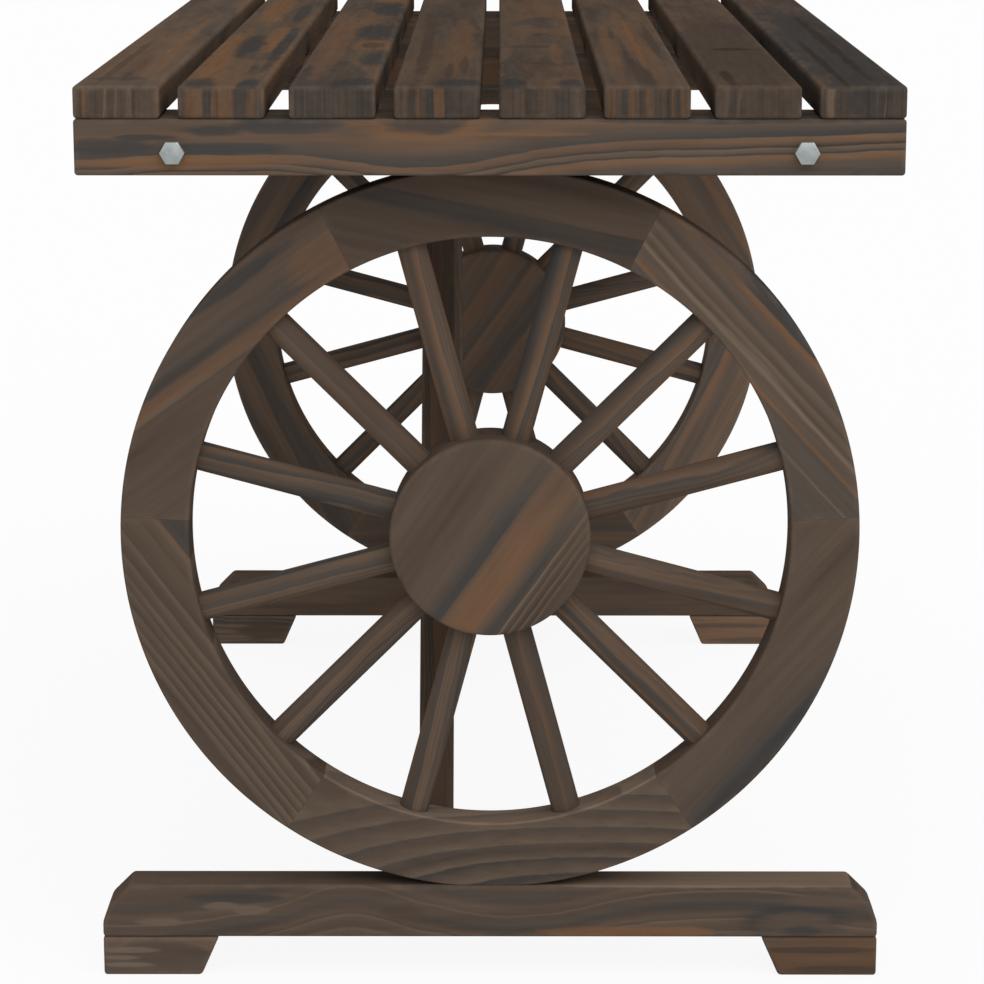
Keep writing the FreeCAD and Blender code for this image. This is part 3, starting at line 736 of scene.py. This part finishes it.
# The pale streak along the top edge, 405 mm along, is a painted highlight; the other marks are the
# stain's.
foot_marks = [
    (84, 8.7, 30, 3.5, "slate"), (76, 14, 12, 3, "fawn"), (96, 17, 12, 3.5, "fawn"),
    (36, 24.6, 16, 3, "fawn"), (194, 18, 16, 6, "umber"), (334, 32, 60, 5, "amber"),
    (444, 24, 40, 14, "slate"), (446, 27, 28, 9, "brown"), (450, 31, 16, 5, "slate"),
    (474, 10, 40, 5, "brown"), (405, 0, 120, 1.5, "pale"), (70, 0, 90, 1.5, "brown"),
]
rear_foot_cut = (3.2, 0.01, 0.055)
rim_screw_spots = (-0.018, 0.018)
screw_hole_radius = 0.00235
screw_mouth_radius = 0.0056
drill_lead = 0.001
drill_reach = 0.05


def planed(outline, thickness, edge, turn=Matrix.Identity(3)):
    """A board with an outline in X and Z, its thickness along Y and all its edges eased."""
    solid = bmesh.new()
    sides = []
    for out in (-thickness / 2, thickness / 2):
        sides.append([solid.verts.new(turn @ Vector((x, out, z))) for x, z in outline])
    solid.faces.new(sides[0])
    solid.faces.new(list(reversed(sides[1])))
    for here in range(len(outline)):
        there = (here + 1) % len(outline)
        solid.faces.new((sides[0][there], sides[0][here], sides[1][here], sides[1][there]))
    bmesh.ops.recalc_face_normals(solid, faces=solid.faces[:])
    rounded = bmesh.ops.bevel(
        solid, geom=solid.edges[:], offset=edge, offset_type="OFFSET",
        segments=3, profile=0.5, affect="EDGES",
    )
    new = set(rounded["faces"])
    flats = [face for face in solid.faces if face not in new]
    bmesh.ops.inset_individual(solid, faces=flats, thickness=edge_support)
    return solid


def screw_drill(spot, way):
    """A countersink, and a hole for a wood screw that goes right through the piece."""
    mouth, hole = screw_mouth_radius, screw_hole_radius
    profile = [(0, -drill_lead), (mouth + drill_lead, -drill_lead), (hole, mouth - hole)]
    profile += [(hole, drill_reach), (0, drill_reach)]
    return set_along(turned(profile, sides=32), spot, way)


low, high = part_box("front_foot_beam")
beam_wood = stained_wood("beam_wood", band=0.019, wave=0.030, slate=0.8, amber=0.8, lines=0.3)
foot_wood = stained_wood(
    "foot_wood", wave=0.01, figure=foot_figure, cover=0.42,
    sag=(high.x - low.x, foot_sag), marks=placed(foot_marks),
)
for end in ends:
    node = f"{end}_foot_beam"
    low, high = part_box(node)
    half = (high.x - low.x) / 2
    height = high.z - low.z
    slope = height - foot_facet_top
    right = [
        (half, 0),
        (half, foot_end_height),
        (half - foot_facet_inset, foot_facet_top),
        (half - foot_facet_inset - slope, height),
    ]
    outline = right + [(-x, z) for x, z in reversed(right)]
    foot = planed(outline, high.y - low.y, beam_edge)
    depth = (low.y + high.y) / 2
    bmesh.ops.translate(foot, vec=(0, depth, low.z), verts=foot.verts[:])
    foot = carved(foot, [screw_drill((spot, depth, low.z), upward) for spot in rim_screw_spots])
    if end == "front":
        edge = (0, low.y, high.z)
        keep_wood(node, foot, foot_wood, crosswise, -upward, (half, 0, 0), foot_tone, edge)
    else:
        keep_wood(node, foot, beam_wood, crosswise, upward, rear_foot_cut)


# The pads: four blocks under the ends of the foot beams, upright outside and slanted inside,
# screwed up into the beams.
pad_top_width = 0.0745
pad_bottom_width = 0.063
pad_screw_spots = (0.225, 0.197)
pad_cut = (5.1, 0.03, 0.38)
pad_tones = {(-1, -1): 1.2, (1, -1): 0.87, (-1, 1): 1.08, (1, 1): 1.5}
pad_marks = [
    (212, 12, 60, 20, "russet"), (206, 17.5, 45, 2.5, "umber"), (228, 4, 40, 3, "umber"),
    (-205, 13, 26, 10, "umber"), (-232, 17, 18, 2, "fawn"), (-239, 12, 14, 1.6, "fawn"),
    (-234, 7, 20, 1.8, "fawn"),
]
low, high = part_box("foot_pads")
pad_outer = high.x
pad_bottom = low.z
pad_height = high.z - low.z


def pad_tone(place):
    """Each pad is cut from another piece, and takes the stain in its own way."""
    return pad_tones[1 if place.x > 0 else -1, 1 if place.y > 0 else -1]


pads = []
for end in ends:
    low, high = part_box(f"{end}_foot_beam")
    depth = (low.y + high.y) / 2
    for way in (-1, 1):
        outline = [
            (way * (pad_outer - pad_bottom_width), 0),
            (way * pad_outer, 0),
            (way * pad_outer, pad_height),
            (way * (pad_outer - pad_top_width), pad_height),
        ]
        pad = planed(outline, high.y - low.y, beam_edge)
        bmesh.ops.translate(pad, vec=(0, depth, pad_bottom), verts=pad.verts[:])
        drills = [screw_drill((way * spot, depth, pad_bottom), upward) for spot in pad_screw_spots]
        pads.append(carved(pad, drills))
pad_wood = stained_wood(
    "pad_wood", band=0.019, wave=0.03, slate=0.5, amber=0.8,
    marks=placed(pad_marks, pad_cut[0], pad_cut[1] - pad_height / 2),
)
keep_wood("foot_pads", joined(pads), pad_wood, crosswise, upward, pad_cut, pad_tone)


# The cross rails: beams on top of the wheels, screwed down into the rims and bolted to the
# aprons' inner sides. They show only from below and through the gaps of the top.
rail_cuts = {"front": (7.3, 0.09, 0.02), "rear": (8.9, 0.12, 0.03)}


def plain_board(node, edge):
    """A straight board with all its edges eased, as large as its CAD node and in its place."""
    low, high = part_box(node)
    half = (high.x - low.x) / 2
    height = high.z - low.z
    outline = [(-half, 0), (half, 0), (half, height), (-half, height)]
    board = planed(outline, high.y - low.y, edge)
    middle = (low + high) / 2
    bmesh.ops.translate(board, vec=(middle.x, middle.y, low.z), verts=board.verts[:])
    return board


for end in ends:
    node = f"{end}_cross_rail"
    low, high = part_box(node)
    depth = (low.y + high.y) / 2
    drills = [screw_drill((spot, depth, high.z), -upward) for spot in rim_screw_spots]
    rail = carved(plain_board(node, beam_edge), drills)
    keep_wood(node, rail, beam_wood, crosswise, upward, rail_cuts[end])


# The aprons: a beam under the slats at each end, flush with them, with a long wavy grain. The
# slats are screwed on from below, two screws to a slat.
apron_tone = 1.1
apron_figure = [
    (-40, "brown"), (-17, "brown"), (-12, "russet"), (-8, "brown"), (-5, "ash"), (-0.6, "slate"),
    (0, "fawn"), (1.2, "amber"), (4, "brown"), (5.8, "dusk"), (6.2, "fawn"), (8.5, "brown"),
    (10, "dusk"), (10.4, "fawn"), (13, "amber"), (15.5, "brown"), (18, "ash"), (21, "slate"),
    (32, "slate"),
]
apron_sag = [
    24, 23.2, 20.9, 20.6, 20.8, 20.5, 22.6, 26, 28.4, 27.6, 24.2, 19.8, 16.6, 14.8, 13.5, 12.4, 11.5,
    10.2, 9.3, 8.2, 7.4,
]
apron_marks = [
    (210, 3, 44, 13, "amber"), (210, 0, 30, 9.5, "slate"), (126, 3, 34, 6, "slate"),
    (84, 7, 20, 3.5, "slate"), (43, 11, 20, 2, "slate"), (20, 17, 34, 6, "slate"),
    (92, 17.5, 42, 3.5, "slate"), (70, 26, 70, 4, "amber"), (270, 9, 40, 1.5, "amber"),
    (400, 1, 90, 2, "slate"),
]
rear_apron_tone = 1.03
rear_apron_cut = (11.4, 0.1, 0.03)
slat_screw_offset = 0.013
slat_count = 8
slat_boxes = [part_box(f"slat_{number}") for number in range(1, slat_count + 1)]
slat_middles = [(low.x + high.x) / 2 for low, high in slat_boxes]
slat_screw_spots = [middle + way * slat_screw_offset for middle in slat_middles for way in (-1, 1)]
low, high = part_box("front_apron")
apron_wood = stained_wood(
    "apron_wood", wave=0.008, figure=apron_figure, cover=0.5,
    sag=(high.x - low.x, apron_sag), marks=placed(apron_marks),
)
for end in ends:
    node = f"{end}_apron"
    low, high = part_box(node)
    half = (high.x - low.x) / 2
    depth = (low.y + high.y) / 2
    drills = [screw_drill((spot, depth, low.z), upward) for spot in slat_screw_spots]
    apron = carved(plain_board(node, beam_edge), drills)
    if end == "front":
        edge = (0, low.y, high.z)
        keep_wood(node, apron, apron_wood, crosswise, -upward, (half, 0, 0), apron_tone, edge)
    else:
        keep_wood(
            node, apron, beam_wood, crosswise, -upward, rear_apron_cut, rear_apron_tone
        )


# The slats: eight planed boards that make the top, with well rounded edges, each sawn from
# another part of the log, so that some are plain and others blotched or banded.
slat_edge = 0.0025
slat_grain = Vector((0, 1, 0.03))
slat_cuts = [
    (0.7, 0.010, 0.122), (2.1, -0.014, 0.094), (3.9, 0.006, 0.071), (5.2, 0.02, 0.125),
    (7.4, -0.01, 0.083), (9.1, 0.012, 0.108), (10.6, 0.0, 0.137), (12.3, -0.016, 0.115),
]
slat_tones = [1.12, 1.0, 0.96, 0.89, 0.91, 0.94, 0.95, 0.96]
slat_ambers = [0.7, 0.7, 0.6, 0.6, 0.6, 0.7, 0.35, 0.25]
slat_end_figures = [
    [
        (-26, "umber"), (-21, "umber"), (-19, "amber"), (-16, "umber"), (-8, "umber"), (-7.4, "pale"),
        (-6.8, "brown"), (-2, "umber"), (-1, "fawn"), (0, "umber"), (4.5, "umber"), (5, "fawn"),
        (6, "brown"), (8, "fawn"), (9, "umber"), (14, "ash"), (20, "umber"), (26, "ash"),
    ],
    [
        (-26, "umber"), (-21, "umber"), (-18, "amber"), (-10.5, "amber"), (-9, "slate"),
        (-5.5, "slate"), (-4, "amber"), (6, "amber"), (9, "slate"), (15, "slate"), (18, "amber"),
        (23, "umber"), (26, "ash"),
    ],
    [(-26, "ash"), (-16, "slate"), (0, "ash"), (26, "slate")],
    [
        (-26, "umber"), (-24, "fawn"), (-22, "umber"), (-20, "fawn"), (-17, "umber"), (-14, "slate"),
        (-12, "amber"), (-9, "brown"), (-6, "slate"), (-3, "slate"), (-1.5, "amber"), (4, "amber"),
        (4.6, "slate"), (15, "ash"), (26, "ash"),
    ],
    [
        (-26, "umber"), (-15, "brown"), (-9, "brown"), (-8, "slate"), (-4, "umber"), (0, "brown"),
        (7, "brown"), (8, "slate"), (18, "ash"), (22, "fawn"), (24, "umber"), (26, "umber"),
    ],
    [
        (-26, "umber"), (-22, "amber"), (-17, "brown"), (-15, "slate"), (-12, "slate"), (-10, "amber"),
        (-5, "brown"), (-3.5, "slate"), (-1.5, "umber"), (1, "amber"), (4, "brown"), (6, "ash"),
        (10, "brown"), (12.5, "slate"), (14.5, "amber"), (16.5, "umber"), (18.5, "slate"),
        (21, "amber"), (24, "umber"), (26, "umber"),
    ],
    [
        (-26, "umber"), (-22, "brown"), (-20, "fawn"), (-18, "umber"), (-16, "slate"), (-14.5, "umber"),
        (-11.5, "fawn"), (-11, "umber"), (-2, "ash"), (10, "umber"), (26, "ash"),
    ],
    [
        (-26, "umber"), (-22.5, "umber"), (-20.5, "pale"), (-18, "pale"), (-16.5, "umber"),
        (-14, "slate"), (-11.5, "umber"), (-10, "slate"), (12.5, "slate"), (13.2, "fawn"),
        (14, "slate"), (20, "ash"), (26, "umber"),
    ],
]
slat_marks = [
    [(300, 10, 260, 4, "russet"), (180, -12, 170, 3, "umber"), (46, -1.5, 12, 20, "umber")],
    [
        (210, -16, 210, 10, "amber"), (340, 9, 130, 8, "amber"), (290, -4, 100, 10, "slate"),
        (285, 19, 200, 5, "slate"), (8, -14, 44, 11, "slate"), (8, 15, 40, 7, "slate"),
        (110, 4, 80, 5, "russet"), (640, -8, 160, 12, "amber"), (600, 14, 120, 6, "slate"),
    ],
    [
        (300, -12, 260, 9, "russet"), (294, 13, 48, 16, "amber"), (294, 14, 26, 9, "umber"),
        (20, 13, 38, 15, "slate"), (190, 17, 66, 12, "slate"), (414, 12, 80, 17, "slate"),
        (634, 15, 70, 15, "slate"), (764, 10, 60, 14, "amber"),
    ],
    [
        (305, 11, 260, 10, "russet"), (240, -12, 230, 5, "umber"), (12, 14, 32, 19, "slate"),
        (95, 6, 55, 3, "umber"), (135, 15, 65, 3.5, "umber"),
    ],
    [
        (8, -18, 40, 9, "slate"), (8, 18, 38, 9, "slate"), (283, -5, 14, 20, "umber"),
        (150, 8, 16, 18, "umber"), (420, 6, 24, 22, "russet"), (230, 12, 90, 5, "russet"),
    ],
    [
        (239, -14, 240, 5, "russet"), (177, -4, 220, 3, "umber"), (160, 10, 210, 5, "russet"),
        (420, 0, 200, 6, "russet"), (330, 17, 180, 3, "umber"), (300, 4, 200, 2.5, "amber"),
    ],
    [(260, 0, 460, 27, "umber"), (261, 4, 14, 19, "dusk"), (60, -15, 50, 4, "dusk")],
    [(260, 3, 480, 34, "slate"), (300, 8, 280, 4, "dusk"), (160, -10, 180, 3, "dusk")],
]
for index, cut in enumerate(slat_cuts):
    node = f"slat_{index + 1}"
    low, high = slat_boxes[index]
    stripes = [(place + millimetres * cut[1], stain) for place, stain in slat_end_figures[index]]
    marks = placed(slat_marks[index], cut[0] - (high.y - low.y) / 2, cut[1])
    slat_wood = stained_wood(
        f"slat_wood_{index + 1}", band=0.024, wave=0.03, slate=0.55, amber=slat_ambers[index],
        lines=0.1, end_figure=stripes, marks=marks,
    )
    slat = plain_board(node, slat_edge)
    keep_wood(node, slat, slat_wood, slat_grain, crosswise, cut, slat_tones[index])


# The middle batten: a flat batten across the undersides of the slats, at the middle of their
# length, which ties them together with one short screw up into each.
batten_cut = (18.4, 0.07, 0.03)
batten_tone = 0.95
low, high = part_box("middle_batten")
drills = [screw_drill((spot, 0, low.z), upward) for spot in slat_middles]
batten = carved(plain_board("middle_batten", beam_edge), drills)
keep_wood("middle_batten", batten, beam_wood, crosswise, lengthwise, batten_cut, batten_tone)


# The braces: two slanted battens left of the middle, each from the inner side of a foot beam up
# to the underside of a slat, with a deep seat for the screw at either end.
brace_angle = math.radians(27)
brace_depth = 0.040
brace_toe = 0.028
brace_toe_grip = 0.026
brace_top_grip = 0.034
brace_screw_inset = 0.025
brace_seat_radius = 0.0046
brace_seat_reach = 0.09
brace_tone = 0.9
brace_cuts = {"front": (14.2, 0.06, 0.02), "rear": (16.5, 0.075, 0.02)}
screw_head_depth = 0.00275
brace_lean = math.tan(brace_angle)
brace_slice = brace_depth / math.cos(brace_angle)
for end, side in ends.items():
    node = f"{end}_brace"
    low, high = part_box(node)
    rise = high.z - low.z
    reach = (rise - brace_toe) * brace_lean
    outline = [
        (0, 0),
        (brace_slice - brace_toe * brace_lean, 0),
        (reach + brace_slice, rise),
        (reach, rise),
        (0, brace_toe),
    ]
    face = low.y if side < 0 else high.y
    turn = Matrix(((0, 1, 0), (-side, 0, 0), (0, 0, 1)))
    brace = planed(outline, high.x - low.x, beam_edge, turn)
    depth = (low.x + high.x) / 2
    bmesh.ops.translate(brace, vec=(depth, face, low.z), verts=brace.verts[:])
    inward = -side * lengthwise
    toe = Vector((depth, face, low.z + brace_toe / 2))
    top = Vector((depth, face, high.z)) + inward * (reach + brace_screw_inset)
    seats = [
        (toe + inward * (brace_toe_grip - screw_head_depth), inward),
        (top - upward * (brace_top_grip - screw_head_depth), -upward),
    ]
    brace = carved(brace, [bore(seat, way, brace_seat_radius, brace_seat_reach) for seat, way in seats])
    grain = inward * brace_lean + upward
    keep_wood(node, brace, beam_wood, grain, crosswise, brace_cuts[end], brace_tone)


# The bolts: four zinc-plated hex bolts that clamp each apron to its rail, with the head outside
# on the apron, and a washer and a nut on the rail's inner side.
head_flats = 0.013
head_height = 0.0053
head_corner = head_flats / 2 / math.cos(math.pi / 6)
chamfer_slope = math.tan(math.radians(28))
chamfer_inset = 0.0002
chamfer_reach = 0.001
bolt_radius = 0.004
bolt_length = 0.070
bolt_root = 0.001
bolt_hole_radius = 0.0041
thread_length = 0.022
thread_pitch = 0.00125
thread_depth = 0.0006
nut_height = 0.0065
washer_radius = 0.008
washer_thickness = 0.0016
washer_edge = 0.0002
washer_support = 0.0001


def plated_steel(name):
    """Zinc plating on steel: a dull light grey with faint clouds and a fine grit."""
    material, start = paint(name)
    spot = start.node("ShaderNodeTexCoord", {}, {}, "Object")
    clouds = spot.cloud((260, 260, 260), 3.0)
    grit = spot.cloud((2600, 2600, 2600), 2.0)
    stops = [(0.3, tint(146, 152, 152)), (0.55, tint(156, 162, 161)), (0.75, tint(164, 169, 168))]
    colour = start.node("ShaderNodeValToRGB", {"stops": stops}, {0: clouds})
    relief = start.node("ShaderNodeBump", {}, {"Height": grit, "Strength": 0.15, "Distance": 0.0002})
    rough = clouds * 0.25 + 0.34
    sockets = {"Base Color": colour, "Roughness": rough, "Normal": relief, "Metallic": 0.55}
    surface = start.node("ShaderNodeBsdfPrincipled", {}, sockets)
    start.node("ShaderNodeOutputMaterial", {}, {"Surface": surface})
    return material


def hex_block(height, chamfers):
    """A hexagon along Z with its corners turned off at the bottom, at the top or at both."""
    block = turned([(0, 0), (head_corner, 0), (head_corner, height), (0, height)], sides=6)
    flat = head_flats / 2 - chamfer_inset
    wide = head_corner + chamfer_reach
    drop = (wide - flat) * chamfer_slope
    limit = [(flat, 0), (wide, drop)] if "bottom" in chamfers else [(wide, 0)]
    limit += [(wide, height - drop), (flat, height)] if "top" in chamfers else [(wide, height)]
    return carved(block, [turned([(0, 0), *limit, (0, height)], sides=96)], "INTERSECT")


plated = plated_steel("zinc_steel")
shank = [(0, -bolt_root), (bolt_radius, -bolt_root), (bolt_radius, bolt_length - thread_length)]
for turn in range(int(thread_length / thread_pitch) - 1):
    level = bolt_length - thread_length + turn * thread_pitch
    shank.append((bolt_radius - thread_depth, level + thread_pitch / 2))
    shank.append((bolt_radius, level + thread_pitch))
shank += [(bolt_radius - thread_depth, bolt_length), (0, bolt_length)]
washer_corners = [
    (bolt_hole_radius, 0),
    (washer_radius, 0),
    (washer_radius, washer_thickness),
    (bolt_hole_radius, washer_thickness),
]
washer_section = eased(washer_corners, washer_edge, steps=2, support=washer_support)
low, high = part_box("hex_bolts_and_nuts")
bolt_spots = [low.x + head_corner, high.x - head_corner]
bolt_level = (low.z + high.z) / 2
washer_low, washer_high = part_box("bolt_washers")
bolts = []
washers = []
nuts = []
for end, side in ends.items():
    low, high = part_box(f"{end}_apron")
    inward = -side * lengthwise
    for spot in bolt_spots:
        seat = Vector((spot, low.y if side < 0 else high.y, bolt_level))
        bolts.append(set_along(hex_block(head_height, ["top"]), seat, -inward))
        bolts.append(set_along(turned(shank, sides=32), seat, inward))
        rail_seat = Vector((spot, washer_low.y if side < 0 else washer_high.y, bolt_level))
        washers.append(set_along(turned(washer_section, sides=48, closed=True), rail_seat, inward))
        hole = bore((0, 0, 0), upward, bolt_hole_radius, nut_height + drill_overrun, drill_overrun)
        nut = carved(hex_block(nut_height, ["bottom", "top"]), [hole])
        nuts.append(set_along(nut, rail_seat + inward * washer_thickness, inward))
keep_piece("hex_bolts_and_nuts_steel", joined(bolts + nuts), plated, ["hex_bolts_and_nuts"])
keep_piece("bolt_washers_steel", joined(washers), plated, ["bolt_washers"])


# The wood screws: countersunk screws of zinc-plated steel, which hold slats, rims, pads and
# braces, with shorter ones in the batten. Their heads sit just below the surface.
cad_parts["wood_screws"].data.materials.clear()
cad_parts["wood_screws"].data.materials.append(plated)


# The studio: a wide floor that looks almost white and keeps the table's shadow, a white dome, and
# one broad soft light from above, on the camera's side and a little to its right, at a level at
# which the stain looks as it is.
white = (1.0, 1.0, 1.0, 1.0)
floor_grey = (0.92, 0.92, 0.92, 1.0)
floor_glow = 0.9
floor_reach = 40
dome_strength = 0.55
key_way = Vector((-0.3, 0.8, -1.0))
key_strength = 1.6
key_spread = math.radians(70)


def looked_at(start):
    """One for what the camera sees, straight or in metal or through glass, and nought for light."""
    rays = ("Is Camera Ray", "Is Glossy Ray", "Is Transmission Ray")
    straight, glossy, through = (start.node("ShaderNodeLightPath", {}, {}, ray) for ray in rays)
    return start.maths("MAXIMUM", start.maths("MAXIMUM", straight, glossy), through)


floor_paint, start = paint("pale_floor")
matt = start.node("ShaderNodeBsdfDiffuse", {}, {"Color": floor_grey})
glow = start.node("ShaderNodeEmission", {}, {"Color": white, "Strength": 1.0})
surface = start.node("ShaderNodeMixShader", {}, {0: looked_at(start) * floor_glow, 1: matt, 2: glow})
start.node("ShaderNodeOutputMaterial", {}, {"Surface": surface})
floor_mesh = bpy.data.meshes.new("studio_floor")
quarters = ((-1, -1), (1, -1), (1, 1), (-1, 1))
floor_corners = [(x * floor_reach, y * floor_reach, 0) for x, y in quarters]
floor_mesh.from_pydata(floor_corners, [], [(0, 1, 2, 3)])
floor_mesh.materials.append(floor_paint)
floor = bpy.data.objects.new("studio_floor", floor_mesh)
bpy.context.scene.collection.objects.link(floor)

dome = bpy.data.worlds.new("studio_dome")
dome.use_nodes = True
dome.node_tree.nodes.clear()
start = Shade(dome.node_tree)
light = start.node("ShaderNodeBackground", {}, {"Color": white, "Strength": dome_strength})
backdrop = start.node("ShaderNodeBackground", {}, {"Color": white, "Strength": 1.0})
sky = start.node("ShaderNodeMixShader", {}, {0: looked_at(start), 1: light, 2: backdrop})
start.node("ShaderNodeOutputWorld", {}, {"Surface": sky})
bpy.context.scene.world = dome

key = bpy.data.lights.new("studio_key", "SUN")
key.energy = key_strength
key.angle = key_spread
lamp = bpy.data.objects.new("studio_key", key)
lamp.rotation_mode = "QUATERNION"
lamp.rotation_quaternion = key_way.to_track_quat("-Z", "Y")
bpy.context.scene.collection.objects.link(lamp)


# The camera: it stands far off in front of one end, a little above the top, with a long lens, and
# looks slightly down.
camera_place = (0.0061, -2.386, 0.758)
camera_dip = math.radians(12.57)
camera_turn = math.radians(0.14)
lens = bpy.data.cameras.new("studio_camera")
lens.lens = 118.13
lens.sensor_width = 36
lens.clip_end = 200
camera = bpy.data.objects.new("studio_camera", lens)
camera.location = camera_place
camera.rotation_euler = (math.radians(90) - camera_dip, 0, camera_turn)
bpy.context.scene.collection.objects.link(camera)
bpy.context.scene.camera = camera
bpy.context.scene.view_settings.view_transform = "Standard"

bpy.context.view_layer.update()
